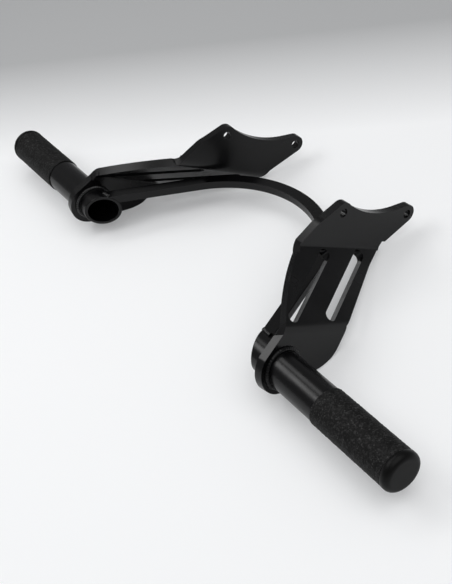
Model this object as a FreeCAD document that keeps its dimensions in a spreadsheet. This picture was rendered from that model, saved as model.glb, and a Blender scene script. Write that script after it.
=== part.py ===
import FreeCAD, Part
import Sketcher
import math
import os

doc = FreeCAD.newDocument("rearset")
V = FreeCAD.Vector

# Sizes in millimetres and degrees. Pegs along X, right side +X, ears towards +Y, the bottom on Z = 0
# and the middle of the footprint on the origin.
sizes = {
    "pegBack": -94.38, "pegHeight": 30.55,
    "tubeRadius": 16.85, "tubeWall": 3.0, "boreGap": 0.1, "stubLength": 30.6,
    "gripRadius": 18.0, "gripOut": 59.0, "gripLength": 83.5, "gripGap": 0.1, "gripEdge": 0.96,
    "capFlange": 8.0, "capRound": 5.0, "capSpigot": 12.0, "capGap": 0.1,
    "mouthAngle": 28.5,
    "plateReach": 170.0, "plateToe": 3.38, "plateLean": 36.71, "plateTilt": -8.36,
    "plateThickness": 8.0, "plateOffset": 56.06, "bendLow": 35.03, "bendHigh": 88.89,
    "earLean": 7.29, "bendRadius": 5.0,
    "plateEndRadius": 23.5, "rearFoot": -7.3, "frontFoot": 67.7, "rearWaist": 44.8, "frontWaist": 150.3,
    "earCornerRadius": 9.8, "earTipRadius": 9.0, "earHoleRadius": 4.25,
    "earRearIn": 41.2, "earRearUp": 32.3, "earFrontOut": 22.9, "earFrontUp": 35.3,
    "slotWidth": 10.4, "slotMargin": 3.8, "slotTurn": 41.2, "slotRearShare": 0.23, "slotFrontShare": 0.736,
    "archRadius": 102.75, "archWidth": 12.0, "archHeight": 8.0,
    "archTop": 15.7, "archTilt": 6.6, "archFoot": 5.0,
    "beadLeg": 3.8, "seamRadius": 2.6, "seamLength": 10.0,
}

sheet = doc.addObject("Spreadsheet::Sheet", "Sizes")
for row, (name, value) in enumerate(sizes.items(), start=1):
    sheet.set("A%d" % row, name)
    sheet.set("B%d" % row, str(value))
    sheet.setAlias("B%d" % row, name)
doc.recompute()


def S(name):
    return sizes[name]


def plane(body, role):
    return [f for f in body.Origin.OriginFeatures if f.Role == role][0]


def sketchOn(body, role, name, offset=None):
    sketch = body.newObject("Sketcher::SketchObject", name)
    sketch.AttachmentSupport = [(plane(body, role), "")]
    sketch.MapMode = "FlatFace"
    if offset:
        for path, formula in offset.items():
            sketch.setExpression("AttachmentOffset." + path, formula)
    return sketch


def drive(sketch, constraint, formula=None):
    """Adds one constraint and ties it to a formula of the sizes."""
    index = sketch.addConstraint(constraint)
    if formula:
        sketch.setExpression("Constraints[%d]" % index, formula)
    return index


def pin(sketch, element, end, xFormula, yFormula, point):
    """Fixes one end point of an element at two signed formulas."""
    x = Sketcher.Constraint("DistanceX", -1, 1, element, end, point[0])
    y = Sketcher.Constraint("DistanceY", -1, 1, element, end, point[1])
    drive(sketch, x, xFormula)
    drive(sketch, y, yFormula)


def outline(sketch, points, bulges):
    """Closed chain through named points; a bulge is None for a line or, for an arc, its rise over
    the chord, positive to the left, and the name of the size that its radius goes with."""
    count = len(points)
    base = sketch.GeometryCount
    ends = []
    for i in range(count):
        a = V(*points[i][0], 0)
        b = V(*points[(i + 1) % count][0], 0)
        if bulges[i] is None:
            sketch.addGeometry(Part.LineSegment(a, b), False)
            ends.append((1, 2))
            continue
        chord = b - a
        middle = (a + b) * 0.5 + V(-chord.y, chord.x, 0).normalize() * bulges[i][0]
        # A sketch arc always runs anticlockwise.
        if bulges[i][0] > 0:
            sketch.addGeometry(Part.Arc(b, middle, a), False)
            ends.append((2, 1))
        else:
            sketch.addGeometry(Part.Arc(a, middle, b), False)
            ends.append((1, 2))
    for i in range(count):
        j = (i + 1) % count
        sketch.addConstraint(Sketcher.Constraint("Coincident", base + i, ends[i][1], base + j, ends[j][0]))
    for i in range(count):
        (point, xFormula, yFormula) = points[i]
        pin(sketch, base + i, ends[i][0], xFormula, yFormula, point)
        if bulges[i] is not None:
            radius, size = sketch.Geometry[base + i].Radius, bulges[i][1]
            drive(sketch, Sketcher.Constraint("Radius", base + i, radius),
                  "%.9g * Sizes.%s" % (radius / S(size), size))


def circleAt(sketch, radiusFormula, radius, centre=(0, 0), xFormula=None, yFormula=None):
    i = sketch.addGeometry(Part.Circle(V(centre[0], centre[1], 0), V(0, 0, 1), radius), False)
    drive(sketch, Sketcher.Constraint("Radius", i, radius), radiusFormula)
    if xFormula is None and yFormula is None:
        sketch.addConstraint(Sketcher.Constraint("Coincident", i, 3, -1, 1))
    else:
        pin(sketch, i, 3, xFormula, yFormula, centre)
    return i


def feature(body, kind, name, **values):
    item = body.newObject("PartDesign::" + kind, name)
    for key, value in values.items():
        setattr(item, key, value)
    return item


def body(name):
    return doc.addObject("PartDesign::Body", name)


plateTurn = ("rotation(vector(1; 0; 0); -Sizes.plateLean) * rotation(vector(0; 0; 1); Sizes.plateToe)"
             " * rotation(vector(0; 1; 0); Sizes.plateTilt)")
plateFrame = "placement(vector(Sizes.plateReach; Sizes.pegBack; Sizes.pegHeight); %s)" % plateTurn
pegFrame = "placement(vector(0; Sizes.pegBack; Sizes.pegHeight); rotation(vector(1; 0; 0); 0))"
mouthReach = "(Sizes.plateReach - Sizes.stubLength)"
gripStart = "(Sizes.plateReach + Sizes.gripOut)"
gripEnd = "(Sizes.plateReach + Sizes.gripOut + Sizes.gripLength)"
blankFront = "(Sizes.frontWaist + Sizes.earFrontOut + 3 * Sizes.earTipRadius)"
blankBack = "(-2.4 * Sizes.plateEndRadius)"
blankBottom = "(-1.7 * Sizes.plateEndRadius)"
blankEar = "(Sizes.earFrontUp + 3 * Sizes.earTipRadius)"
frontEnd = S("frontWaist") + S("earFrontOut") + 3 * S("earTipRadius")
backEnd, bottomEnd = -2.4 * S("plateEndRadius"), -1.7 * S("plateEndRadius")
earEnd = S("earFrontUp") + 3 * S("earTipRadius")
reach = S("plateReach") - S("stubLength")
startX = S("plateReach") + S("gripOut")
endX = startX + S("gripLength")

# Bracket plate, right: the bent strip, in a frame of its own with U along the bends and V up the strip.
# Its regions, low, slope and ear, are measured along their own outer faces from the bend lines.
t = S("plateThickness")
run, rise = S("plateOffset"), S("bendHigh") - S("bendLow")
slope, earTurn = math.atan2(run, rise), math.radians(S("earLean"))
slopeTurn = "atan2(Sizes.plateOffset; Sizes.bendHigh - Sizes.bendLow)"
earTurned = "(Sizes.earLean * 1 deg)"
halfLow = "(%s / 2)" % slopeTurn
halfHigh = "((%s + %s) / 2)" % (slopeTurn, earTurned)
meanHigh = "((%s - %s) / 2)" % (slopeTurn, earTurned)
shift = t * math.tan(slope / 2)
bendX = -run - t * math.cos((slope - earTurn) / 2) / math.cos((slope + earTurn) / 2)
bendV = S("bendHigh") - t * math.sin((slope - earTurn) / 2) / math.cos((slope + earTurn) / 2)
earX, earV = earEnd * math.sin(earTurn), earEnd * math.cos(earTurn)
stripPoints = [
    ((0, bottomEnd), "0", blankBottom),
    ((0, S("bendLow")), "0", "Sizes.bendLow"),
    ((-run, S("bendHigh")), "-Sizes.plateOffset", "Sizes.bendHigh"),
    ((-run + earX, S("bendHigh") + earV), blankEar + " * sin(Sizes.earLean) - Sizes.plateOffset",
     "Sizes.bendHigh + %s * cos(Sizes.earLean)" % blankEar),
    ((-run + earX - t * math.cos(earTurn), S("bendHigh") + earV + t * math.sin(earTurn)),
     blankEar + " * sin(Sizes.earLean) - Sizes.plateOffset - Sizes.plateThickness * cos(Sizes.earLean)",
     "Sizes.bendHigh + %s * cos(Sizes.earLean) + Sizes.plateThickness * sin(Sizes.earLean)" % blankEar),
    ((bendX, bendV), "-Sizes.plateOffset - Sizes.plateThickness * cos%s / cos%s" % (meanHigh, halfHigh),
     "Sizes.bendHigh - Sizes.plateThickness * sin%s / cos%s" % (meanHigh, halfHigh)),
    ((-t, S("bendLow") - shift), "-Sizes.plateThickness",
     "Sizes.bendLow - Sizes.plateThickness * tan%s" % halfLow),
    ((-t, bottomEnd), "-Sizes.plateThickness", blankBottom),
]
sheetBody = body("PlateSheet")
strip = sketchOn(sheetBody, "XZ_Plane", "StripProfile", {"Base.z": "-" + blankBack})
outline(strip, stripPoints, [None] * 8)
stripPad = feature(sheetBody, "Pad", "Strip", Profile=strip, Reversed=True)
stripPad.setExpression("Length", "%s - %s" % (blankFront, blankBack))
doc.recompute()


def edgesAlongU(shape, x, z):
    """Names of the edges that run along the bends through one point of the profile."""
    names = []
    for i, edge in enumerate(shape.Edges, start=1):
        a, b = edge.Vertexes[0].Point, edge.Vertexes[-1].Point
        if abs(a.y - b.y) > 50 and abs(a.x - x) < 0.01 and abs(a.z - z) < 0.01:
            names.append("Edge%d" % i)
    return names


insideEdges = edgesAlongU(stripPad.Shape, -run, S("bendHigh")) \
    + edgesAlongU(stripPad.Shape, -t, S("bendLow") - shift)
bendIn = feature(sheetBody, "Fillet", "BendInside", Base=(stripPad, insideEdges))
bendIn.setExpression("Radius", "Sizes.bendRadius")
doc.recompute()
outsideEdges = edgesAlongU(bendIn.Shape, 0, S("bendLow")) + edgesAlongU(bendIn.Shape, bendX, bendV)
bendOut = feature(sheetBody, "Fillet", "BendOutside", Base=(bendIn, outsideEdges))
bendOut.setExpression("Radius", "Sizes.bendRadius + Sizes.plateThickness")
doc.recompute()

# The cutting outline, square to each region, and square to the middle of each bend.
slopeLong, slopeLength = math.hypot(run, rise), \
    "sqrt(Sizes.plateOffset ^ 2 + (Sizes.bendHigh - Sizes.bendLow) ^ 2)"
outer = S("bendRadius") + t
lowTan, lowTangent = outer * math.tan(slope / 2), \
    "((Sizes.bendRadius + Sizes.plateThickness) * tan%s)" % halfLow
highTan, highTangent = S("bendRadius") * math.tan((slope + earTurn) / 2), \
    "(Sizes.bendRadius * tan%s)" % halfHigh
end, tip, corner = S("plateEndRadius"), S("earTipRadius"), S("earCornerRadius")
frontU, frontW = S("frontWaist") + S("earFrontOut"), S("earFrontUp")
rearU, rearW = S("rearWaist") + S("earRearIn"), S("earRearUp")
frontCentreU, rearCentreU = "(Sizes.frontWaist + Sizes.earFrontOut)", "(Sizes.rearWaist + Sizes.earRearIn)"
turns = {
    "low": None,
    "lowBend": "placement(vector(0; Sizes.bendLow; 0); rotation(vector(-1; 0; 0); %s))" % halfLow,
    "slope": "placement(vector(0; Sizes.bendLow; 0); rotation(vector(-1; 0; 0); %s))" % slopeTurn,
    "highBend": "placement(vector(0; Sizes.bendHigh; -Sizes.plateOffset); rotation(vector(-1; 0; 0); %s))"
                % meanHigh,
    "ear": "placement(vector(0; Sizes.bendHigh; -Sizes.plateOffset); rotation(vector(1; 0; 0);"
           " Sizes.earLean))",
}


def regionSketch(region, name):
    """A sketch on the outer face of one region of the plate."""
    sketch = sketchOn(sheetBody, "YZ_Plane", name)
    if turns[region]:
        sketch.setExpression("AttachmentOffset", turns[region])
    return sketch


def regionPocket(sketch, name):
    pocket = feature(sheetBody, "Pocket", name, Profile=sketch, Type="Length", SideType="Symmetric")
    pocket.setExpression("Length", "4 * Sizes.plateThickness")
    doc.recompute()
    return pocket


def at(u, w):
    """A point from two pairs of number and formula."""
    return ((u[0], w[0]), u[1], w[1])


def plus(base, factor, length):
    """A pair of number and formula: base and a share of a length."""
    return (base[0] + factor * length[0], "%s + %g * %s" % (base[1], factor, length[1]))


def ring(centre, radius, angle):
    """A point on a round corner, with its two formulas."""
    a = math.radians(angle)
    return ((centre[0][0] + radius[0] * math.cos(a), centre[1][0] + radius[0] * math.sin(a)),
            "%s + %s * cos(%g)" % (centre[0][1], radius[1], angle),
            "%s + %s * sin(%g)" % (centre[1][1], radius[1], angle))


def sagitta(radius, a, b):
    """Rise of a short arc of this radius over the chord between two points."""
    half = math.dist(a[0], b[0]) / 2
    return radius - math.sqrt(max(radius * radius - half * half, 0))


def value(name):
    return (S(name), "Sizes." + name)


zero, lowLength, highLength = (0.0, "0"), (lowTan, lowTangent), (highTan, highTangent)
footRear, footFront = value("rearFoot"), value("frontFoot")
waistRear, waistFront = value("rearWaist"), value("frontWaist")
rearBefore, rearAfter = plus(footRear, -0.33, lowLength), plus(footRear, 0.40, lowLength)
frontBefore, frontAfter = plus(footFront, -0.22, lowLength), plus(footFront, 1.02, lowLength)
rearUnder, rearOver = plus(waistRear, -0.86, highLength), plus(waistRear, 0.62, highLength)
frontUnder, frontOver = plus(waistFront, -1.18, highLength), plus(waistFront, 1.0, highLength)
endCentre, endRadius = (zero, zero), value("plateEndRadius")
frontCentre, tipRadius = ((frontU, frontCentreU), value("earFrontUp")), value("earTipRadius")
rearCentre, cornerRadius = ((rearU, rearCentreU), value("earRearUp")), value("earCornerRadius")
farRear, farFront = (backEnd - 10, blankBack + " - 10"), (frontEnd + 10, blankFront + " + 10")


def region(name, chains):
    """Cuts away what lies outside the outline in one region. Every chain lists its points with
    the rise of the arc that follows, or None."""
    sketch = regionSketch(name, name.capitalize() + "Outline")
    for chain in chains:
        outline(sketch, [point for point, _ in chain], [bulge for _, bulge in chain])
    return regionPocket(sketch, name.capitalize() + "Trim")


lowTop = (S("bendLow") - lowTan, "Sizes.bendLow - %s" % lowTangent)
bottom = (bottomEnd - 10, blankBottom + " - 10")
ends = [ring(endCentre, endRadius, angle) for angle in (160, 240, 318)]
region("low", [[
    (at(rearBefore, lowTop), None),
    (ends[0], (-sagitta(end, ends[0], ends[1]), "plateEndRadius")),
    (ends[1], (-sagitta(end, ends[1], ends[2]), "plateEndRadius")),
    (ends[2], None),
    (at(plus(zero, 0.64, footFront), plus(zero, -0.1, value("bendLow"))), (-1.0, "frontFoot")),
    (at(plus(zero, 0.855, footFront), plus(zero, 0.194, value("bendLow"))), (-0.7, "frontFoot")),
    (at(plus(zero, 0.941, footFront), plus(zero, 0.582, value("bendLow"))), None),
    (at(frontBefore, lowTop), None),
    (at(farFront, lowTop), None), (at(farFront, bottom), None),
    (at(farRear, bottom), None), (at(farRear, lowTop), None),
]])


def bendRegion(name, half, halfFormula, rear, front):
    """The two ends of a bend, between the tangent lines of its wider side."""
    reachHere = (outer * math.sin(half),
                 "(Sizes.bendRadius + Sizes.plateThickness) * sin%s" % halfFormula)
    below, above = (-reachHere[0], "-" + reachHere[1]), reachHere
    region(name, [
        [(at(rear[0], below), None), (at(rear[1], zero), None), (at(rear[2], above), None),
         (at(farRear, above), None), (at(farRear, below), None)],
        [(at(front[2], above), None), (at(front[1], zero), None), (at(front[0], below), None),
         (at(farFront, below), None), (at(farFront, above), None)],
    ])


bendRegion("lowBend", slope / 2, halfLow, (rearBefore, footRear, rearAfter),
           (frontBefore, footFront, frontAfter))
slopeFrom, slopeTo = lowLength, (slopeLong - highTan, "%s - %s" % (slopeLength, highTangent))
turnPoint = at((footFront[0] + 0.724 * (waistFront[0] - footFront[0]),
                "Sizes.frontFoot + 0.724 * (Sizes.frontWaist - Sizes.frontFoot)"),
               (0.7525 * slopeLong, "0.7525 * %s" % slopeLength))
region("slope", [
    [(at(rearAfter, slopeFrom), (3.4, "frontWaist")), (at(rearUnder, slopeTo), None),
     (at(farRear, slopeTo), None), (at(farRear, slopeFrom), None)],
    [(at(frontUnder, slopeTo), None), (turnPoint, None), (at(frontAfter, slopeFrom), None),
     (at(farFront, slopeFrom), None), (at(farFront, slopeTo), None)],
])
bendRegion("highBend", (slope + earTurn) / 2, halfHigh, (rearUnder, waistRear, rearOver),
           (frontUnder, waistFront, frontOver))
earTop = (earEnd + 10, blankEar + " + 10")
tips = [ring(frontCentre, tipRadius, angle) for angle in (-47, 30, 112)]
corners = [ring(rearCentre, cornerRadius, angle) for angle in (55, 138)]
inward = value("earRearIn")
region("ear", [[
    (at(frontOver, highLength), None),
    (tips[0], (-sagitta(tip, tips[0], tips[1]), "earTipRadius")),
    (tips[1], (-sagitta(tip, tips[1], tips[2]), "earTipRadius")),
    (tips[2], None),
    (at(plus((frontU, frontCentreU), -1.47, tipRadius), plus(value("earFrontUp"), 0.55, tipRadius)),
     (6.2, "frontWaist")),
    (corners[0], (-sagitta(corner, corners[0], corners[1]), "earCornerRadius")),
    (corners[1], None),
    (at(plus(waistRear, 0.49, inward), plus(zero, 0.79, value("earRearUp"))), (-0.3, "earRearIn")),
    (at(plus(waistRear, 0.32, inward), plus(zero, 0.59, value("earRearUp"))), None),
    (at(rearOver, highLength), None),
    (at(farRear, highLength), None), (at(farRear, earTop), None),
    (at(farFront, earTop), None), (at(farFront, highLength), None),
]])

# Ear holes, square to the ear.
earSketch = regionSketch("ear", "EarHoles")
circleAt(earSketch, "Sizes.earHoleRadius", S("earHoleRadius"), (rearU, rearW), rearCentreU,
         "Sizes.earRearUp")
circleAt(earSketch, "Sizes.earHoleRadius", S("earHoleRadius"), (frontU, frontW), frontCentreU,
         "Sizes.earFrontUp")
regionPocket(earSketch, "EarHolePair")

# Slots, square to the slope, from one bend almost to the other.
slotPlane = regionSketch("slope", "Slots")
turn = math.radians(S("slotTurn"))
r = S("slotWidth") / 2
half = (slopeLong - 2 * S("slotMargin") - S("slotWidth")) / math.sin(turn) / 2
along = "(%s - 2 * Sizes.slotMargin - Sizes.slotWidth) / sin(Sizes.slotTurn) / 2" % slopeLength
side = "Sizes.slotWidth / 2"
rearMiddle = (S("rearFoot") + S("rearWaist")) / 2
wide = (S("frontFoot") + S("frontWaist")) / 2 - rearMiddle
for name in ("slotRearShare", "slotFrontShare"):
    u0, v0 = rearMiddle + S(name) * wide, 0.517 * slopeLong
    centre = ("(Sizes.rearFoot + Sizes.rearWaist) / 2 + Sizes.%s * (Sizes.frontFoot + Sizes.frontWaist"
              " - Sizes.rearFoot - Sizes.rearWaist) / 2" % name)
    up = "0.517 * %s" % slopeLength
    dx, dy = math.cos(turn), math.sin(turn)
    slotCorners, formulas = [], []
    for (m, n) in ((-1, -1), (1, -1), (1, 1), (-1, 1)):
        slotCorners.append((u0 + m * half * dx - n * r * dy, v0 + m * half * dy + n * r * dx))
        formulas.append(("%s + %d * %s * cos(Sizes.slotTurn) - %d * %s * sin(Sizes.slotTurn)"
                         % (centre, m, along, n, side),
                         "%s + %d * %s * sin(Sizes.slotTurn) + %d * %s * cos(Sizes.slotTurn)"
                         % (up, m, along, n, side)))
    base = slotPlane.GeometryCount
    mid = [(u0 + half * dx, v0 + half * dy), (u0 - half * dx, v0 - half * dy)]
    high = (mid[0][0] + r * dx, mid[0][1] + r * dy)
    deep = (mid[1][0] - r * dx, mid[1][1] - r * dy)
    P = [V(x, y, 0) for x, y in slotCorners]
    slotPlane.addGeometry(Part.LineSegment(P[0], P[1]), False)
    slotPlane.addGeometry(Part.Arc(P[1], V(high[0], high[1], 0), P[2]), False)
    slotPlane.addGeometry(Part.LineSegment(P[2], P[3]), False)
    slotPlane.addGeometry(Part.Arc(P[3], V(deep[0], deep[1], 0), P[0]), False)
    for i in range(4):
        g, h = base + i, base + (i + 1) % 4
        here = slotPlane.Geometry[g]
        there = slotPlane.Geometry[h]
        joint = P[(i + 1) % 4]
        e1 = 2 if here.EndPoint.distanceToPoint(joint) < 1e-6 else 1
        e2 = 1 if there.StartPoint.distanceToPoint(joint) < 1e-6 else 2
        slotPlane.addConstraint(Sketcher.Constraint("Coincident", g, e1, h, e2))
    for i, g in ((0, base), (1, base), (2, base + 2), (3, base + 2)):
        which = 1 if i in (0, 2) else 2
        pin(slotPlane, g, which, formulas[i][0], formulas[i][1], slotCorners[i])
    for g, m in ((base + 1, 1), (base + 3, -1)):
        drive(slotPlane, Sketcher.Constraint("DistanceX", -1, 1, g, 3, u0 + m * half * dx),
              "%s + %d * %s * cos(Sizes.slotTurn)" % (centre, m, along))
doc.recompute()
sheetBody.Tip = regionPocket(slotPlane, "SlotPair")
sheetBody.setExpression("Placement", plateFrame)
doc.recompute()


def axisRod(name, radiusFormula, x0, length):
    rod = doc.addObject("Part::Cylinder", name)
    rod.setExpression("Radius", radiusFormula)
    rod.setExpression("Height", length)
    rod.setExpression("Placement", "placement(vector(%s; Sizes.pegBack; Sizes.pegHeight);"
                      " rotation(vector(0; 1; 0); 90))" % x0)
    return rod


def cut(name, base, tool):
    item = doc.addObject("Part::Cut", name)
    item.Base = base
    item.Tool = tool
    return item


def mirror(name, source):
    item = doc.addObject("Part::Mirroring", name)
    item.Source = source
    item.Normal = V(1, 0, 0)
    item.Base = V(0, 0, 0)
    item.Label = name
    return item


tubeHole = axisRod("TubeHole", "Sizes.tubeRadius + Sizes.boreGap", "Sizes.plateReach - 30", "60")
plateRight = cut("PlateRight", sheetBody, tubeHole)

# Peg tube with its inner mouth cut along the arch leg.
tubeBody = body("PegTube")
tubeRing = sketchOn(tubeBody, "YZ_Plane", "TubeRing", {"Base.z": mouthReach + " - 20"})
circleAt(tubeRing, "Sizes.tubeRadius", S("tubeRadius"))
circleAt(tubeRing, "Sizes.tubeRadius - Sizes.tubeWall", S("tubeRadius") - S("tubeWall"))
tubePad = feature(tubeBody, "Pad", "TubeWall", Profile=tubeRing)
tubePad.setExpression("Length", "%s - %s + 20" % (gripEnd, mouthReach))
mouth = sketchOn(tubeBody, "XY_Plane", "MouthCut")
lean = math.tan(math.radians(S("mouthAngle")))
outline(mouth, [
    ((reach - 30 * lean, 30), mouthReach + " - 30 * tan(Sizes.mouthAngle)", "30"),
    ((reach - 60, 30), mouthReach + " - 60", "30"),
    ((reach - 60, -30), mouthReach + " - 60", "-30"),
    ((reach + 30 * lean, -30), mouthReach + " + 30 * tan(Sizes.mouthAngle)", "-30"),
], [None] * 4)
feature(tubeBody, "Pocket", "Mouth", Profile=mouth, Type="ThroughAll", SideType="Symmetric")
tubeBody.setExpression("Placement", pegFrame)
doc.recompute()

# Grip sleeve over the tube.
sleeveBody = body("GripSleeve")
sleeveRing = sketchOn(sleeveBody, "YZ_Plane", "SleeveRing", {"Base.z": gripStart})
circleAt(sleeveRing, "Sizes.gripRadius", S("gripRadius"))
circleAt(sleeveRing, "Sizes.tubeRadius + Sizes.gripGap", S("tubeRadius") + S("gripGap"))
sleevePad = feature(sleeveBody, "Pad", "SleeveWall", Profile=sleeveRing)
sleevePad.setExpression("Length", "Sizes.gripLength")
doc.recompute()


def roundEdge(shape, x, radius):
    """Name of the circle at this station with this radius."""
    for i, edge in enumerate(shape.Edges, start=1):
        curve = edge.Curve
        if hasattr(curve, "Radius") and abs(curve.Radius - radius) < 0.01 \
                and abs(edge.CenterOfMass.x - x) < 0.01:
            return "Edge%d" % i


sleeveEdge = roundEdge(sleevePad.Shape, startX, S("gripRadius"))
sleeveBreak = feature(sleeveBody, "Chamfer", "SleeveStart", Base=(sleevePad, [sleeveEdge]))
sleeveBreak.setExpression("Size", "Sizes.gripEdge")
sleeveBody.setExpression("Placement", pegFrame)
doc.recompute()

# End cap: a head in line with the sleeve, rounded in steps, and a spigot inside the tube.
capBody = body("EndCap")
capHalf = sketchOn(capBody, "XY_Plane", "CapHalf")
G, spigotRadius = S("gripRadius"), S("tubeRadius") - S("tubeWall") - S("capGap")
spigotFormula = "Sizes.tubeRadius - Sizes.tubeWall - Sizes.capGap"
capPoints = [
    ((endX - S("capSpigot"), 0), gripEnd + " - Sizes.capSpigot", "0"),
    ((endX + S("capFlange"), 0), gripEnd + " + Sizes.capFlange", "0"),
]
for angle in (0, 45, 90):
    a = math.radians(angle)
    capPoints.append(((endX + S("capFlange") - S("capRound") * (1 - math.cos(a)),
                       G - S("capRound") * (1 - math.sin(a))),
                      "%s + Sizes.capFlange - Sizes.capRound * (1 - cos(%g))" % (gripEnd, angle),
                      "Sizes.gripRadius - Sizes.capRound * (1 - sin(%g))" % angle))
capPoints += [
    ((endX, G), gripEnd, "Sizes.gripRadius"),
    ((endX, spigotRadius), gripEnd, spigotFormula),
    ((endX - S("capSpigot"), spigotRadius), gripEnd + " - Sizes.capSpigot", spigotFormula),
]
outline(capHalf, capPoints, [None] * len(capPoints))
feature(capBody, "Revolution", "CapTurned", Profile=capHalf, Angle=360.0,
        ReferenceAxis=(plane(capBody, "X_Axis"), [""]))
capBody.setExpression("Placement", pegFrame)
doc.recompute()

# Arch bar: an arc with straight legs, on a plane that falls a little towards the ears.
archBody = body("ArchBar")
archSketch = sketchOn(archBody, "XY_Plane", "ArchOutline")
R, W = S("archRadius"), S("archWidth")
beta = math.radians(90 - S("mouthAngle"))
yc = (reach - R * math.sin(beta)) * math.tan(beta) - R * math.cos(beta)
archCentre = ("((%s - Sizes.archRadius * sin(90 - Sizes.mouthAngle)) / tan(Sizes.mouthAngle)"
              " - Sizes.archRadius * cos(90 - Sizes.mouthAngle))" % mouthReach)
foot = S("archFoot")


def legEnd(radius, side):
    """End of a leg line of the arc with this radius, at the foot's station."""
    x = radius * math.sin(beta) + (yc + radius * math.cos(beta) - foot) * math.tan(math.pi / 2 - beta)
    return (side * x, foot)


psi = "(90 - Sizes.mouthAngle)"
innerArc, outerArc = "Sizes.archRadius", "(Sizes.archRadius + Sizes.archWidth)"


def arcX(sign, radius):
    return "%s%s * sin%s" % (sign, radius, psi)


def arcY(radius):
    return "%s + %s * cos%s" % (archCentre, radius, psi)


def footX(sign, radius):
    return "%s(%s * sin%s + (%s + %s * cos%s - Sizes.archFoot) * tan(Sizes.mouthAngle))" \
        % (sign, radius, psi, archCentre, radius, psi)


def arcPoint(radius, side):
    return (side * radius * math.sin(beta), yc + radius * math.cos(beta))


rise1 = R - R * math.cos(beta)
rise2 = (R + W) - (R + W) * math.cos(beta)
outline(archSketch, [
    (arcPoint(R, -1), arcX("-", innerArc), arcY(innerArc)),
    (arcPoint(R, 1), arcX("", innerArc), arcY(innerArc)),
    (legEnd(R, 1), footX("", innerArc), "Sizes.archFoot"),
    (legEnd(R + W, 1), footX("", outerArc), "Sizes.archFoot"),
    (arcPoint(R + W, 1), arcX("", outerArc), arcY(outerArc)),
    (arcPoint(R + W, -1), arcX("-", outerArc), arcY(outerArc)),
    (legEnd(R + W, -1), footX("-", outerArc), "Sizes.archFoot"),
    (legEnd(R, -1), footX("-", innerArc), "Sizes.archFoot"),
], [(rise1, "archRadius"), None, None, None, (-rise2, "archRadius"), None, None, None])
for index, formula in ((0, innerArc), (4, outerArc)):
    for k, c in enumerate(archSketch.Constraints):
        if c.Type == "Radius" and c.First == index:
            archSketch.setExpression("Constraints[%d]" % k, formula)
archPad = feature(archBody, "Pad", "ArchFlat", Profile=archSketch, Reversed=True)
archPad.setExpression("Length", "Sizes.archHeight")
archBody.setExpression("Placement", "placement(vector(0; Sizes.pegBack; Sizes.pegHeight + Sizes.archTop);"
                       " rotation(vector(1; 0; 0); -Sizes.archTilt))")
doc.recompute()
cope = axisRod("ArchCope", "Sizes.tubeRadius", "-" + gripStart, "2 * " + gripStart)
archBar = cut("ArchCoped", archBody, cope)
archBar.Label = "arch_bar"


def bead(name, baseX, sign):
    """Weld bead around the tube on one face of the plate, turned with the plate."""
    ringBody = body(name)
    profile = sketchOn(ringBody, "XY_Plane", name + "Profile")
    leg, tube = S("beadLeg"), S("tubeRadius")
    outline(profile, [
        ((0, tube - 3), "0", "Sizes.tubeRadius - 3"),
        ((0, tube + leg), "0", "Sizes.tubeRadius + Sizes.beadLeg"),
        ((sign * (leg + 3), tube - 3), "%d * (Sizes.beadLeg + 3)" % sign, "Sizes.tubeRadius - 3"),
    ], [None] * 3)
    feature(ringBody, "Revolution", name + "Ring", Profile=profile, Angle=360.0,
            ReferenceAxis=(plane(ringBody, "X_Axis"), [""]))
    ringBody.setExpression("Placement", "placement(vector(%s; Sizes.pegBack; Sizes.pegHeight); %s)"
                           % (baseX, plateTurn))
    doc.recompute()
    core = axisRod(name + "Core", "Sizes.tubeRadius", "Sizes.plateReach - 40", "80")
    return cut(name + "Cut", ringBody, core)


beadOuter = bead("BeadOuter", "Sizes.plateReach", 1)
beadInner = bead("BeadInner", "Sizes.plateReach - Sizes.plateThickness / (cos(Sizes.plateToe)"
                 " * cos(Sizes.plateTilt))", -1)

# Seam weld where the arch leg lies on the tube.
seam = doc.addObject("Part::Cylinder", "SeamRod")
seam.setExpression("Radius", "Sizes.seamRadius")
seam.setExpression("Height", "Sizes.seamLength")
seam.setExpression("Placement", "placement(vector(" + mouthReach + " - 3.2;"
                   " Sizes.pegBack + sqrt(Sizes.tubeRadius ^ 2 - (Sizes.archTop - 1.1) ^ 2);"
                   " Sizes.pegHeight + Sizes.archTop - 1.1);"
                   " rotation(vector(0; 1; 0); 90))")
seamOff = cut("SeamOffTube", seam, axisRod("SeamCore", "Sizes.tubeRadius", mouthReach + " - 30", "60"))
seamCut = cut("SeamOffArch", seamOff, archBar)
doc.recompute()

rightNodes = {
    "bracket_plate": plateRight, "peg_tube": tubeBody, "grip_sleeve": sleeveBody,
    "end_cap": capBody, "weld_outer": beadOuter, "weld_inner": beadInner, "weld_arch": seamCut,
}
nodes = {"arch_bar": archBar}
for name, item in rightNodes.items():
    item.Label = name + "_right"
    nodes[name + "_right"] = item
    nodes[name + "_left"] = mirror(name + "_left", item)
doc.recompute()

for item in doc.Objects:
    bad = [word for word in item.State if word in ("Invalid", "Error")]
    assert not bad, (item.Name, item.State)
os.makedirs("parts", exist_ok=True)
for name, item in nodes.items():
    shape = item.Shape
    assert not shape.isNull() and shape.isValid() and shape.Volume > 1, name
    assert len(shape.Solids) == 1, (name, len(shape.Solids))
    shape.exportStep("parts/%s.step" % name)
    box = shape.BoundBox
    print(name, round(shape.Volume), [round(v, 1) for v in
          (box.XMin, box.YMin, box.ZMin, box.XMax, box.YMax, box.ZMax)])
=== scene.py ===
import math

import bpy
from mathutils import Matrix, Vector


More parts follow.
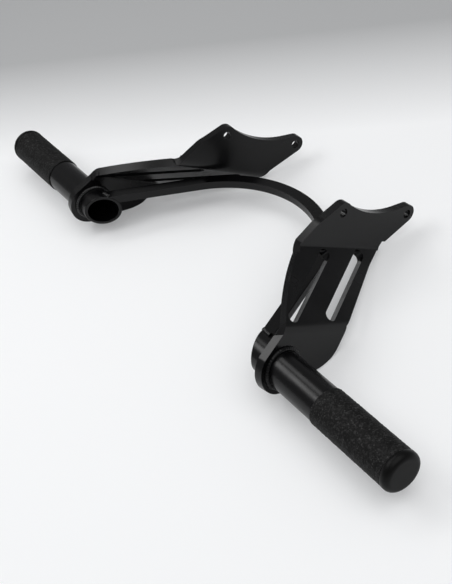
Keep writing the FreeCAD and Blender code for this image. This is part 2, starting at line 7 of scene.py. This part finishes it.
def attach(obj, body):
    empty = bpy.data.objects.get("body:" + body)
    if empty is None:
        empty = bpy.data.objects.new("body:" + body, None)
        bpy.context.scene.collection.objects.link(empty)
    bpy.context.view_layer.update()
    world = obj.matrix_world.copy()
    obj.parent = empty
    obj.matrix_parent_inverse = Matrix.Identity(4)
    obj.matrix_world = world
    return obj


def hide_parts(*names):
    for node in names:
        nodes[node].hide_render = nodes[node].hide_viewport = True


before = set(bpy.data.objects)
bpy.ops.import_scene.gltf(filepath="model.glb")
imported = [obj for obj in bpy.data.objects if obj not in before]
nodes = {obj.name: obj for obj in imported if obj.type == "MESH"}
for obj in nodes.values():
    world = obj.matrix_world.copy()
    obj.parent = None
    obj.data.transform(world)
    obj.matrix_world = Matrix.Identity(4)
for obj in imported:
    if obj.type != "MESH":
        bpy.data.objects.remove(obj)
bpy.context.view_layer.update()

mm = 0.001

# Most values of a noise texture lie between these two.
noiseRange = (0.35, 0.65)


# Linear colour of an sRGB hex code.
def hexColour(text):
    values = [int(text[i:i + 2], 16) / 255 for i in (1, 3, 5)]
    return tuple(v / 12.92 if v <= 0.04045 else ((v + 0.055) / 1.055) ** 2.4 for v in values) + (1.0,)


# An input is a value, a socket, or a node whose first output is meant. i0, i1 and so on are
# inputs by number, other names are the inputs' own.
def addNode(tree, kind, settings=None, **inputs):
    node = tree.nodes.new(kind)
    for key, value in (settings or {}).items():
        setattr(node, key, value)
    for key, value in inputs.items():
        numbered = key[0] == "i" and key[1:].isdigit()
        socket = node.inputs[int(key[1:]) if numbered else key.replace("_", " ")]
        if isinstance(value, bpy.types.Node):
            value = value.outputs[0]
        if isinstance(value, bpy.types.NodeSocket):
            tree.links.new(value, socket)
        else:
            socket.default_value = value
    return node


# A material with a plain shader; place is its object coordinates.
def newMaterial(name, colour, specular):
    material = bpy.data.materials.new(name)
    material.use_nodes = True
    tree = material.node_tree
    tree.nodes.clear()
    shader = addNode(tree, "ShaderNodeBsdfPrincipled", Base_Color=hexColour(colour),
                     Specular_IOR_Level=specular)
    addNode(tree, "ShaderNodeOutputMaterial", Surface=shader)
    place = addNode(tree, "ShaderNodeTexCoord").outputs["Object"]
    return material, tree, shader, place


# Slow clouds in a coat's gloss, of about the given size.
def cloudGloss(tree, shader, place, size, roughness):
    clouds = addNode(tree, "ShaderNodeTexNoise", Vector=place, Scale=1 / size, Detail=3.0)
    gloss = addNode(tree, "ShaderNodeMapRange", Value=clouds,
                    From_Min=noiseRange[0], From_Max=noiseRange[1],
                    To_Min=roughness[0], To_Max=roughness[1])
    tree.links.new(gloss.outputs[0], shader.inputs["Roughness"])


# Black powder coat, sprayed and baked: half gloss. Its orange peel and slow clouds give the
# streaks soft, slightly uneven edges.
powderLook = {
    "colour": "#050506",
    "roughness": (0.19, 0.28),
    "cloudSize": 38 * mm,
    "peelSize": 2.1 * mm,
    "peelHeight": 0.010 * mm,
    "specular": 0.28,
}


def makePowderCoat():
    look = powderLook
    material, tree, shader, place = newMaterial("powderCoatBlack", look["colour"], look["specular"])
    cloudGloss(tree, shader, place, look["cloudSize"], look["roughness"])
    peel = addNode(tree, "ShaderNodeTexNoise", Vector=place, Scale=1 / look["peelSize"], Detail=1.0)
    bump = addNode(tree, "ShaderNodeBump", Height=peel, Distance=look["peelHeight"], Strength=1.0)
    tree.links.new(bump.outputs[0], shader.inputs["Normal"])
    return material


# Weld metal under the same coat: dull outer beads that lie dark in their corner, and glossy
# ones further in, whose crests catch points of light.
weldLook = {
    "colour": "#050506",
    "cloudSize": 3.5 * mm,
    "roughness": (0.18, 0.34),
    "specular": 0.2,
    "innerRoughness": (0.12, 0.24),
    "innerSpecular": 0.5,
}


def makeCoatedWeld(name, roughness, specular):
    material, tree, shader, place = newMaterial(name, weldLook["colour"], specular)
    cloudGloss(tree, shader, place, weldLook["cloudSize"], roughness)
    return material


# Grit coat of the sleeves, grains bound in black resin: dull, speckled by a few grey grains.
# The photo shows no single grain, so they are as coarse as they need to be to show.
gritLook = {
    "colour": "#020202",
    "paleColour": "#3c3c3c",
    "paleRarity": 4.0,
    "roughness": (0.45, 0.8),
    "dustSize": 3.45 * mm,
    "grainSize": 1.15 * mm,
    "facetSize": 0.5 * mm,
    "facetHeight": 0.12 * mm,
    "facetStrength": 0.8,
    "seed": 7.0,
    "specular": 0.2,
}


def makeGritCoat():
    look = gritLook
    material, tree, shader, place = newMaterial("gritCoatBlack", look["colour"], look["specular"])
    grains = addNode(tree, "ShaderNodeTexVoronoi", {"voronoi_dimensions": "4D"}, Vector=place,
                     W=look["seed"], Scale=1 / look["grainSize"])
    pale = addNode(tree, "ShaderNodeMath", {"operation": "POWER"}, i0=grains.outputs["Color"],
                   i1=look["paleRarity"])
    tone = addNode(tree, "ShaderNodeMix", {"data_type": "RGBA"}, Factor=pale,
                   i6=hexColour(look["colour"]), i7=hexColour(look["paleColour"]))
    dust = addNode(tree, "ShaderNodeTexNoise", Vector=place, Scale=1 / look["dustSize"], Detail=4.0)
    gloss = addNode(tree, "ShaderNodeMapRange", Value=dust,
                    To_Min=look["roughness"][0], To_Max=look["roughness"][1])
    facets = addNode(tree, "ShaderNodeTexVoronoi", Vector=place, Scale=1 / look["facetSize"])
    bump = addNode(tree, "ShaderNodeBump", Height=facets.outputs["Distance"],
                   Distance=look["facetHeight"], Strength=look["facetStrength"])
    tree.links.new(tone.outputs[2], shader.inputs["Base Color"])
    tree.links.new(gloss.outputs[0], shader.inputs["Roughness"])
    tree.links.new(bump.outputs[0], shader.inputs["Normal"])
    return material


# End caps of moulded black plastic: a fine grain that leaves a soft sheen on the rounding.
capLook = {
    "colour": "#050505",
    "roughness": 0.40,
    "grainSize": 0.7 * mm,
    "grainHeight": 0.015 * mm,
    "specular": 0.15,
}


def makeCapPlastic():
    look = capLook
    material, tree, shader, place = newMaterial("mouldedPlasticBlack", look["colour"], look["specular"])
    grain = addNode(tree, "ShaderNodeTexNoise", Vector=place, Scale=1 / look["grainSize"], Detail=2.0)
    bump = addNode(tree, "ShaderNodeBump", Height=grain, Distance=look["grainHeight"], Strength=1.0)
    shader.inputs["Roughness"].default_value = look["roughness"]
    tree.links.new(bump.outputs[0], shader.inputs["Normal"])
    return material


powderCoat = makePowderCoat()
coatedWeld = makeCoatedWeld("coatedWeldBlack", weldLook["roughness"], weldLook["specular"])
glossyWeld = makeCoatedWeld("glossyWeldBlack", weldLook["innerRoughness"], weldLook["innerSpecular"])
gritCoat = makeGritCoat()
capPlastic = makeCapPlastic()
print("materials made")


# Edge breaks of the cut plates, the bar and the tubes; angles in degrees.
edgeBreak = {
    "width": 0.75 * mm,
    "segments": 3,
    "angle": 32.0,
    "joinWithin": 0.0005 * mm,
    "flatWithin": 0.6,
}


# Rounds a node's sharp edges with modifiers and leaves its own vertices as they are.
def softenEdges(node):
    look = edgeBreak
    mesh = node.data
    if "custom_normal" in mesh.attributes:
        mesh.attributes.remove(mesh.attributes["custom_normal"])
    for polygon in mesh.polygons:
        polygon.use_smooth = True
    weld = node.modifiers.new("joinCopies", "WELD")
    weld.merge_threshold = look["joinWithin"]
    flat = node.modifiers.new("flatFaces", "DECIMATE")
    flat.decimate_type = "DISSOLVE"
    flat.angle_limit = math.radians(look["flatWithin"])
    bevel = node.modifiers.new("edgeBreak", "BEVEL")
    bevel.width = look["width"]
    bevel.segments = look["segments"]
    bevel.limit_method = "ANGLE"
    bevel.angle_limit = math.radians(look["angle"])
    bevel.harden_normals = False
    normals = node.modifiers.new("faceNormals", "WEIGHTED_NORMAL")
    normals.keep_sharp = True


def dress(item, material):
    item.data.materials.clear()
    item.data.materials.append(material)


for name, node in nodes.items():
    if name.startswith("grip_sleeve"):
        dress(node, gritCoat)
    elif name.startswith("end_cap"):
        dress(node, capPlastic)
    elif name.startswith("weld"):
        dress(node, coatedWeld)
    else:
        dress(node, powderCoat)
        softenEdges(node)
print("nodes dressed")


# The pegs' axis and the plates' faces in millimetres, and a face's unit normal, right side.
pegs = {
    "back": -94.38,
    "height": 30.55,
    "tubeRadius": 16.85,
    "faceReach": 170.0,
    "faceThrough": 8.1,
    "faceNormal": (0.98753, 0.13344, 0.08147),
}


def addObject(name, data):
    item = bpy.data.objects.new(name, data)
    bpy.context.scene.collection.objects.link(item)
    return item


# A smooth mesh object; its points are in millimetres if no other unit is given.
def meshObject(name, points, faces, edges=(), unit=mm):
    mesh = bpy.data.meshes.new(name)
    mesh.from_pydata([tuple(c * unit for c in p) for p in points], edges, faces)
    mesh.validate()
    for polygon in mesh.polygons:
        polygon.use_smooth = True
    return addObject(name, mesh)


# A closed body turned about a peg's axis from (x, radius) pairs. It closes on the axis where
# the first and the last radius are 0, and else into a ring.
def turned(name, profile, side, material, segments):
    points, faces, rows = [], [], []
    for x, radius in profile:
        row = []
        for i in range(1 if radius == 0 else segments):
            a = 2 * math.pi * i / segments
            row.append(len(points))
            points.append((side * x, pegs["back"] + radius * math.cos(a),
                           pegs["height"] + radius * math.sin(a)))
        rows.append(row)
    strips = list(zip(rows, rows[1:]))
    if profile[0][1] > 0:
        strips.append((rows[-1], rows[0]))
    for a, b in strips:
        for i in range(segments):
            j = (i + 1) % segments
            quad = [a[i % len(a)], b[i % len(b)], b[j % len(b)], a[j % len(a)]]
            quad = [v for n, v in enumerate(quad) if v not in quad[:n]]
            faces.append(quad if side > 0 else quad[::-1])
    item = meshObject(name, points, faces)
    dress(item, material)
    return item


# A geometry node tree with named inputs, and its two end nodes.
def nodeTree(name, sockets):
    tree = bpy.data.node_groups.new(name, "GeometryNodeTree")
    tree.interface.new_socket("Geometry", in_out="INPUT", socket_type="NodeSocketGeometry")
    tree.interface.new_socket("Geometry", in_out="OUTPUT", socket_type="NodeSocketGeometry")
    for title, kind in sockets.items():
        tree.interface.new_socket(title, in_out="INPUT", socket_type=kind)
    return tree, tree.nodes.new("NodeGroupInput"), tree.nodes.new("NodeGroupOutput")


def endTree(tree, geometry, coat, end):
    real = addNode(tree, "GeometryNodeRealizeInstances", Geometry=geometry)
    coated = addNode(tree, "GeometryNodeSetMaterial", Geometry=real, Material=coat)
    tree.links.new(coated.outputs[0], end.inputs[0])


# Replaces an object's mesh by what a geometry node tree makes of it.
def grow(item, tree, values):
    modifier = item.modifiers.new(tree.name, "NODES")
    modifier.node_group = tree
    for socket in tree.interface.items_tree:
        if socket.name in values:
            modifier[socket.identifier] = values[socket.name]
    bpy.context.view_layer.update()
    evaluated = item.evaluated_get(bpy.context.evaluated_depsgraph_get())
    mesh = bpy.data.meshes.new_from_object(evaluated)
    item.modifiers.remove(modifier)
    plain = item.data
    item.data = mesh
    bpy.data.meshes.remove(plain)


def finishPiece(item, node):
    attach(item, "root")
    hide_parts(node)


# Grit sleeves: a fine mesh whose outer face is raised into grains, lower at both ends.
# Lengths without mm are in millimetres.
sleeve = {
    "start": 229.0,
    "end": 312.5,
    "outerRadius": 17.72,
    "innerRadius": 16.95,
    "step": 0.42,
    "grainHeight": 0.6 * mm,
    "grainDome": (0.05, 0.6),
    "grainShares": (0.25, 1.0),
    "clumpsPerMetre": 220.0,
    "clumpShares": (0.55, 1.0),
    "startEase": 0.5,
    "startShare": 0.35,
    "endEase": 0.1,
    "endShare": 0.5,
}


# Each grain is a dome of its own height; clumps and the grit attribute lower some of them.
def makeGritTree():
    tree, start, end = nodeTree("gritGrains", {
        "Grain Size": "NodeSocketFloat", "Grain Height": "NodeSocketFloat",
        "Seed": "NodeSocketFloat", "Coat": "NodeSocketMaterial"})
    given = start.outputs
    place = addNode(tree, "GeometryNodeInputPosition")
    rate = addNode(tree, "ShaderNodeMath", {"operation": "DIVIDE"}, i0=1.0, i1=given["Grain Size"])
    grains = addNode(tree, "ShaderNodeTexVoronoi", {"voronoi_dimensions": "4D"}, Vector=place,
                     W=given["Seed"], Scale=rate)
    clumps = addNode(tree, "ShaderNodeTexNoise", {"noise_dimensions": "4D"}, Vector=place,
                     W=given["Seed"], Scale=sleeve["clumpsPerMetre"], Detail=2.0)
    dome = addNode(tree, "ShaderNodeMapRange", Value=grains.outputs["Distance"],
                   From_Min=sleeve["grainDome"][0], From_Max=sleeve["grainDome"][1],
                   To_Min=1.0, To_Max=0.0)
    grainShare = addNode(tree, "ShaderNodeMapRange", Value=grains.outputs["Color"],
                         To_Min=sleeve["grainShares"][0], To_Max=sleeve["grainShares"][1])
    clumpShare = addNode(tree, "ShaderNodeMapRange", Value=clumps,
                         From_Min=noiseRange[0], From_Max=noiseRange[1],
                         To_Min=sleeve["clumpShares"][0], To_Max=sleeve["clumpShares"][1])
    grit = addNode(tree, "GeometryNodeInputNamedAttribute", {"data_type": "FLOAT"}, Name="grit")
    height = dome
    for share in (grainShare, clumpShare, grit.outputs["Attribute"], given["Grain Height"]):
        height = addNode(tree, "ShaderNodeMath", {"operation": "MULTIPLY"}, i0=height, i1=share)
    normal = addNode(tree, "GeometryNodeInputNormal")
    offset = addNode(tree, "ShaderNodeVectorMath", {"operation": "SCALE"}, i0=normal, Scale=height)
    raised = addNode(tree, "GeometryNodeSetPosition", Geometry=given["Geometry"], Offset=offset)
    endTree(tree, raised, given["Coat"], end)
    return tree


gritTree = makeGritTree()


def makeSleeve(side, name):
    look = sleeve
    length = look["end"] - look["start"]
    rows = round(length / look["step"])
    segments = round(2 * math.pi * look["outerRadius"] / look["step"])
    outerLine = [(look["end"] - length * k / rows, look["outerRadius"]) for k in range(rows + 1)]
    outerLine[0] = (look["end"], look["outerRadius"] - look["endEase"])
    outerLine[-1] = (look["start"], look["outerRadius"] - look["startEase"])
    profile = [(look["start"], look["innerRadius"]), (look["end"], look["innerRadius"])] + outerLine
    item = turned("gritSleeve" + name, profile, side, gritCoat, segments)
    shares = [0.0, 0.0, look["endShare"]] + [1.0] * (rows - 1) + [look["startShare"]]
    grit = item.data.attributes.new("grit", "FLOAT", "POINT")
    grit.data.foreach_set("value", [share for share in shares for _ in range(segments)])
    grow(item, gritTree, {"Grain Size": gritLook["grainSize"], "Grain Height": look["grainHeight"],
                          "Seed": gritLook["seed"], "Coat": gritCoat})
    finishPiece(item, "grip_sleeve_" + name)


# End caps: a smooth round head with a faint dome, and the spigot in the tube; millimetres.
cap = {
    "start": 312.5,
    "flange": 8.0,
    "radius": 18.0,
    "edgeBreak": 0.45,
    "rounding": 5.0,
    "roundingSteps": 12,
    "domeFoot": (0.02, 0.8),  # rise and inset
    "domeHeight": 0.05,
    "spigot": 12.0,
    "spigotRadius": 13.75,
    "spigotChamfer": 0.6,
    "segments": 128,
}


def makeCap(side, name):
    look = cap
    start, tip = look["start"], look["start"] + look["flange"]
    back, chamfer = start - look["spigot"], look["spigotChamfer"]
    rounding, flat = look["rounding"], look["radius"] - look["rounding"]
    footRise, footInset = look["domeFoot"]
    profile = [(back, 0), (back, look["spigotRadius"] - chamfer), (back + chamfer, look["spigotRadius"]),
               (start, look["spigotRadius"]), (start, look["radius"] - look["edgeBreak"]),
               (start + look["edgeBreak"], look["radius"])]
    for k in range(look["roundingSteps"] + 1):
        a = math.pi / 2 * k / look["roundingSteps"]
        profile.append((tip - rounding * (1 - math.sin(a)), flat + rounding * math.cos(a)))
    profile += [(tip + footRise, flat - footInset), (tip + look["domeHeight"], flat / 2),
                (tip + look["domeHeight"], 0)]
    item = turned("roundCap" + name, profile, side, capPlastic, look["segments"])
    finishPiece(item, "end_cap_" + name)


# Weld beads: a round string along the seam, with overlapping ripples.
# Lengths without mm are in millimetres, depths are shares of the radius.
bead = {
    "radius": 2.5,
    "offset": 0.3,
    "pitch": 2.3 * mm,
    "outerDepth": 0.07,
    "innerDepth": 0.22,
    "notchPower": 2.2,
    "wander": 0.5 * mm,
    "wavesPerMetre": 160.0,
    "waveRange": (0.3, 0.7),
    "swell": (0.94, 1.1),
    "seed": 3.0,
    "seamPoints": 160,
    "sampling": 0.3 * mm,
    "sides": 14,
}


# The string wanders and swells with one slow noise, and each ripple ends in a notch.
def makeBeadTree():
    tree, start, end = nodeTree("weldRipples", {
        "Radius": "NodeSocketFloat", "Pitch": "NodeSocketFloat", "Depth": "NodeSocketFloat",
        "Wander": "NodeSocketFloat", "Seed": "NodeSocketFloat", "Coat": "NodeSocketMaterial"})
    given = start.outputs
    curve = addNode(tree, "GeometryNodeMeshToCurve", Mesh=given["Geometry"])
    fine = addNode(tree, "GeometryNodeResampleCurve", {"mode": "LENGTH"}, Curve=curve,
                   Length=bead["sampling"])
    place = addNode(tree, "GeometryNodeInputPosition")
    drift = addNode(tree, "ShaderNodeTexNoise", {"noise_dimensions": "4D"}, Vector=place,
                    W=given["Seed"], Scale=bead["wavesPerMetre"], Detail=2.0)
    centred = addNode(tree, "ShaderNodeVectorMath", {"operation": "SUBTRACT"},
                      i0=drift.outputs["Color"], i1=(0.5, 0.5, 0.5))
    offset = addNode(tree, "ShaderNodeVectorMath", {"operation": "SCALE"}, i0=centred,
                     Scale=given["Wander"])
    shaken = addNode(tree, "GeometryNodeSetPosition", Geometry=fine, Offset=offset)
    spline = addNode(tree, "GeometryNodeSplineParameter")
    uneven = addNode(tree, "ShaderNodeMath", {"operation": "MULTIPLY_ADD"}, i0=drift,
                     i1=given["Pitch"], i2=spline.outputs["Length"])
    beats = addNode(tree, "ShaderNodeMath", {"operation": "DIVIDE"}, i0=uneven, i1=given["Pitch"])
    beat = addNode(tree, "ShaderNodeMath", {"operation": "FRACT"}, i0=beats)
    fall = addNode(tree, "ShaderNodeMath", {"operation": "POWER"}, i0=beat, i1=bead["notchPower"])
    notch = addNode(tree, "ShaderNodeMath", {"operation": "MULTIPLY"}, i0=fall, i1=given["Depth"])
    swell = addNode(tree, "ShaderNodeMapRange", Value=drift,
                    From_Min=bead["waveRange"][0], From_Max=bead["waveRange"][1],
                    To_Min=bead["swell"][0], To_Max=bead["swell"][1])
    share = addNode(tree, "ShaderNodeMath", {"operation": "SUBTRACT"}, i0=swell, i1=notch)
    radius = addNode(tree, "ShaderNodeMath", {"operation": "MULTIPLY"}, i0=share, i1=given["Radius"])
    ring = addNode(tree, "GeometryNodeCurvePrimitiveCircle", Resolution=bead["sides"], Radius=1.0)
    body = addNode(tree, "GeometryNodeCurveToMesh", Curve=shaken, Profile_Curve=ring, Scale=radius,
                   Fill_Caps=True)
    smooth = addNode(tree, "GeometryNodeSetShadeSmooth", Geometry=body)
    endTree(tree, smooth, given["Coat"], end)
    return tree


beadTree = makeBeadTree()


def makeBead(name, path, closed, radius, depth, seed, coat, node):
    edges = [(i, i + 1) for i in range(len(path) - 1)]
    if closed:
        edges.append((len(path) - 1, 0))
    item = meshObject(name, path, [], edges)
    grow(item, beadTree, {"Radius": radius * mm, "Pitch": bead["pitch"], "Depth": depth,
                          "Wander": bead["wander"], "Seed": seed, "Coat": coat})
    finishPiece(item, node)


# The corner between tube and plate, a little outside both, as points round the peg.
def seamPath(side, outward):
    nx, ny, nz = pegs["faceNormal"]
    ringRadius = pegs["tubeRadius"] + bead["offset"]
    through = 0.0 if outward else pegs["faceThrough"]
    lift = bead["offset"] if outward else -bead["offset"]
    path = []
    for i in range(bead["seamPoints"]):
        a = 2 * math.pi * i / bead["seamPoints"]
        y, z = ringRadius * math.cos(a), ringRadius * math.sin(a)
        x = pegs["faceReach"] - through + (lift - ny * y - nz * z) / nx
        path.append((side * x, pegs["back"] + y, pegs["height"] + z))
    return path


# The seam where the arch's leg lies on the tube, from its mouth outwards, in millimetres:
# x from the middle of the part, y and z from the peg's axis.
legSeam = {
    "path": ((135.6, 9.3, 15.0), (138.5, 8.9, 14.7), (142.0, 8.8, 14.6), (145.9, 8.6, 14.6)),
    "radius": 2.3,
}

for side, name in ((1, "right"), (-1, "left")):
    makeSleeve(side, name)
    makeCap(side, name)
    makeBead("outerBead" + name, seamPath(side, True), True, bead["radius"], bead["outerDepth"],
             bead["seed"] + side, coatedWeld, "weld_outer_" + name)
    makeBead("innerBead" + name, seamPath(side, False), True, bead["radius"], bead["innerDepth"],
             bead["seed"] + 2 * side, glossyWeld, "weld_inner_" + name)
    legPath = [(side * x, pegs["back"] + y, pegs["height"] + z) for x, y, z in legSeam["path"]]
    makeBead("legBead" + name, legPath, False, legSeam["radius"], bead["innerDepth"],
             bead["seed"] + 3 * side, glossyWeld, "weld_arch_" + name)
print("sleeves, caps and welds made")


# Stage: a pale table that sweeps up behind the part, in an even room; metres and degrees.
# The table's colour darkens with painted shade over the shadeRange along the heading, towards the top of
# the picture.
stage = {
    "heading": 46.2,
    "tableColour": "#f2f3f4",
    # Colour of the painted shade at the far end of the shadeRange.
    "paintedShadeColour": "#aeafb0",
    "shadeRange": (0.185, 0.40),
    "glow": 0.22,
    "mirroredGlow": 0.25,
    "roughness": 0.7,
    "specular": 0.15,
    "tableSize": 4.0,
    "sweepStart": 1.1,
    "sweepRadius": 0.4,
    "sweepSteps": 24,
    "sweepHeight": 0.5,
    "worldColour": "#f0f0f1",
    "worldLight": 0.53,
    "worldMirrored": 0.3,
}


# Matt white table, darker towards the back by painted shade, that glows a little for the camera and the
# gloss.
def makeTableWhite(away):
    material, tree, shader, place = newMaterial("tableWhite", stage["tableColour"], stage["specular"])
    shader.inputs["Roughness"].default_value = stage["roughness"]
    depth = addNode(tree, "ShaderNodeVectorMath", {"operation": "DOT_PRODUCT"}, i0=place, i1=tuple(away))
    shade = addNode(tree, "ShaderNodeMapRange", Value=depth.outputs["Value"],
                    From_Min=stage["shadeRange"][0], From_Max=stage["shadeRange"][1],
                    To_Min=0.0, To_Max=1.0)
    # Painted shade: the table's colour falls to the shade colour along the heading.
    tone = addNode(tree, "ShaderNodeMix", {"data_type": "RGBA"}, Factor=shade,
                   i6=hexColour(stage["tableColour"]), i7=hexColour(stage["paintedShadeColour"]))
    lit = addNode(tree, "ShaderNodeVectorMath", {"operation": "SCALE"}, i0=tone.outputs[2],
                  Scale=1 - stage["glow"])
    path = addNode(tree, "ShaderNodeLightPath")
    seen = addNode(tree, "ShaderNodeMath", {"operation": "MULTIPLY_ADD"}, i0=path.outputs["Is Glossy Ray"],
                   i1=stage["mirroredGlow"], i2=path.outputs["Is Camera Ray"])
    glow = addNode(tree, "ShaderNodeMapRange", Value=seen, To_Min=0.0, To_Max=stage["glow"])
    tree.links.new(lit.outputs[0], shader.inputs["Base Color"])
    tree.links.new(tone.outputs[2], shader.inputs["Emission Color"])
    tree.links.new(glow.outputs[0], shader.inputs["Emission Strength"])
    return material


def makeStage():
    heading = math.radians(stage["heading"])
    away = Vector((-math.sin(heading), math.cos(heading), 0))
    side = Vector((away.y, -away.x, 0))
    profile = [(-stage["tableSize"], 0.0), (stage["sweepStart"], 0.0)]
    for i in range(1, stage["sweepSteps"] + 1):
        a = math.pi / 2 * i / stage["sweepSteps"]
        profile.append((stage["sweepStart"] + stage["sweepRadius"] * math.sin(a),
                        stage["sweepRadius"] * (1 - math.cos(a))))
    profile.append((profile[-1][0], stage["sweepHeight"]))
    points = []
    for u, z in profile:
        for w in (-stage["tableSize"], stage["tableSize"]):
            p = away * u + side * w
            points.append((p.x, p.y, z))
    faces = [(2 * i, 2 * i + 1, 2 * i + 3, 2 * i + 2) for i in range(len(profile) - 1)]
    table = meshObject("tableSweep", points, faces, unit=1.0)
    dress(table, makeTableWhite(away))


# Soft boxes: places, aims and sizes in metres.
lights = {
    "overhead": {
        "place": (0.72, 0.05, 1.4),
        "aim": (0.2, 0.0, 0.0),
        "size": (1.7, 1.7),
        "watts": 12.0,
    },
    "leftBox": {
        "place": (-0.7, -0.54, 1.0),
        "aim": (0.1, -0.1, 0.0),
        "size": (0.5, 0.4),
        "watts": 2.8,
    },
    "frontBox": {
        "place": (-0.32, -0.85, 1.05),
        "aim": (-0.05, -0.05, 0.0),
        "size": (0.6, 0.4),
        "watts": 1.9,
    },
    "backBox": {
        "place": (-0.6, 0.06, 1.19),
        "aim": (0.1, -0.05, 0.0),
        "size": (0.4, 0.4),
        "watts": 1.35,
    },
}


def makeLight(name, look):
    data = bpy.data.lights.new(name, "AREA")
    data.shape = "RECTANGLE"
    data.size, data.size_y = look["size"]
    data.energy = look["watts"]
    light = addObject(name, data)
    light.location = look["place"]
    light.rotation_mode = "QUATERNION"
    back = (Vector(look["place"]) - Vector(look["aim"])).normalized()
    light.rotation_quaternion = back.to_track_quat("Z", "Y")


# Even light from all sides; what the gloss mirrors of it is darker.
def makeWorld():
    world = bpy.data.worlds.new("studio")
    bpy.context.scene.world = world
    world.use_nodes = True
    tree = world.node_tree
    sky = tree.nodes["Background"]
    sky.inputs["Color"].default_value = hexColour(stage["worldColour"])
    path = addNode(tree, "ShaderNodeLightPath")
    level = addNode(tree, "ShaderNodeMapRange", Value=path.outputs["Is Glossy Ray"],
                    To_Min=stage["worldLight"], To_Max=stage["worldMirrored"])
    tree.links.new(level.outputs[0], sky.inputs["Strength"])


# The photo's view: place in metres, two axes as vectors, lens and sensor in millimetres.
camera = {
    "place": (0.7275, -0.36618, 0.67445),
    "right": (0.5536, 0.8055, -0.2116),
    "back": (0.6879, -0.2990, 0.6614),
    "lens": 66.75,
    "sensor": 36.0,
    "clip": (0.05, 20.0),  # metres
}


def makeCamera():
    data = bpy.data.cameras.new("photoView")
    data.lens = camera["lens"]
    data.sensor_width = camera["sensor"]
    data.clip_start, data.clip_end = camera["clip"]
    view = addObject("photoView", data)
    back = Vector(camera["back"]).normalized()
    right = Vector(camera["right"])
    right = (right - back * right.dot(back)).normalized()
    up = back.cross(right)
    turn = Matrix((right, up, back)).transposed().to_4x4()
    view.matrix_world = Matrix.Translation(camera["place"]) @ turn
    bpy.context.scene.camera = view


makeStage()
for name, look in lights.items():
    makeLight(name, look)
makeWorld()
makeCamera()
bpy.context.scene.view_settings.view_transform = "Standard"
print("stage, lights and camera made")
